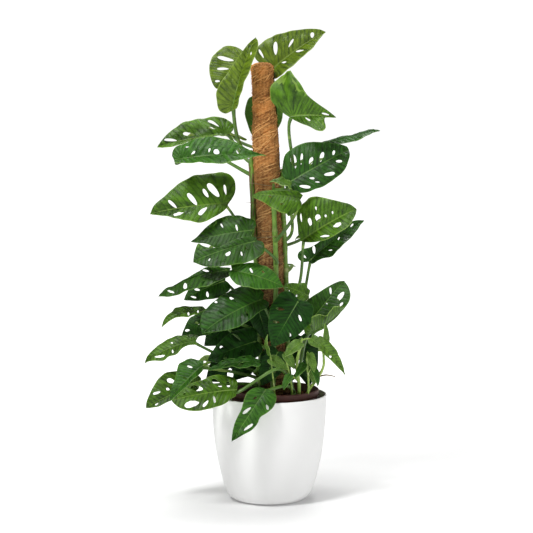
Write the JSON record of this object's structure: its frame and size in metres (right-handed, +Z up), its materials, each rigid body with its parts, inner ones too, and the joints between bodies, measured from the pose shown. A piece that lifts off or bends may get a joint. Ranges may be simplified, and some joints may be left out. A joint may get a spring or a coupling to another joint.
{
  "type": "climbing swiss cheese plant in a pot",
  "caption": "Monstera adansonii climbing a coir-wrapped pole, its holed heart-shaped leaves on bent petioles, in a dark nursery pot inside a round white planter",
  "frame": {"origin": "centre of the planter's flat underside, on the surface that it stands on", "axes": "+Z up, along the climbing pole; the seen front faces -Y; +X to the right of someone who looks at the front"},
  "size_m": [0.4423, 0.337, 0.8965],
  "materials": {
    "planter": "satin",
    "nursery_pot": "satin",
    "soil": "matte",
    "stake": "matte",
    "coir": "matte",
    "stem": "satin",
    "leaf": "satin",
    "shoot": "satin"
  },
  "bodies": {
    "root": {"planter": "planter", "nursery_pot": "nursery_pot", "soil": "soil", "pole_core": "stake", "pole_coir": "coir", "stem_left": "stem", "stem_front": "stem", "stem_right": "stem", "stem_back": "stem", "leaf_crown_right": "leaf", "leaf_crown_round": "leaf", "leaf_crown_upright": "leaf", "leaf_right_shield": "leaf", "leaf_left_upper": "leaf", "leaf_left_lower": "leaf", "leaf_left_big": "leaf", "leaf_mid_left": "leaf", "leaf_mid_behind": "leaf", "leaf_mid_centre": "leaf", "leaf_left_arch": "leaf", "leaf_left_curl": "leaf", "leaf_centre_big": "leaf", "leaf_left_small": "leaf", "leaf_left_low": "leaf", "leaf_left_lattice": "leaf", "leaf_low_left_a": "leaf", "leaf_low_left_b": "leaf", "leaf_low_left_c": "leaf", "leaf_front_low": "leaf", "leaf_low_mid_a": "leaf", "leaf_low_centre": "leaf", "leaf_low_mid_b": "leaf", "leaf_right_mid_big": "leaf", "leaf_right_up_low": "leaf", "leaf_right_low_roll": "leaf", "leaf_right_mid_upper": "leaf", "leaf_right_mid_lower": "leaf", "leaf_right_upper_dark": "leaf", "leaf_right_edge_on": "leaf", "leaf_pole_front": "leaf", "leaf_curl_small": "leaf", "leaf_fill_mid": "leaf", "leaf_fill_left": "leaf", "leaf_fill_low": "leaf", "leaf_fill_right": "leaf", "leaf_right_small": "leaf", "leaf_back_crown": "leaf", "leaf_back_left_top": "leaf", "leaf_back_right_top": "leaf", "leaf_back_right_mid": "leaf", "leaf_back_left_mid": "leaf", "leaf_back_centre": "leaf", "leaf_back_right_low": "leaf", "leaf_back_left_low": "leaf", "leaf_back_low": "leaf", "leaf_back_side_right": "leaf", "leaf_back_side_left": "leaf", "shoot_front": "shoot", "shoot_right": "shoot"}
  },
  "joints": []
}
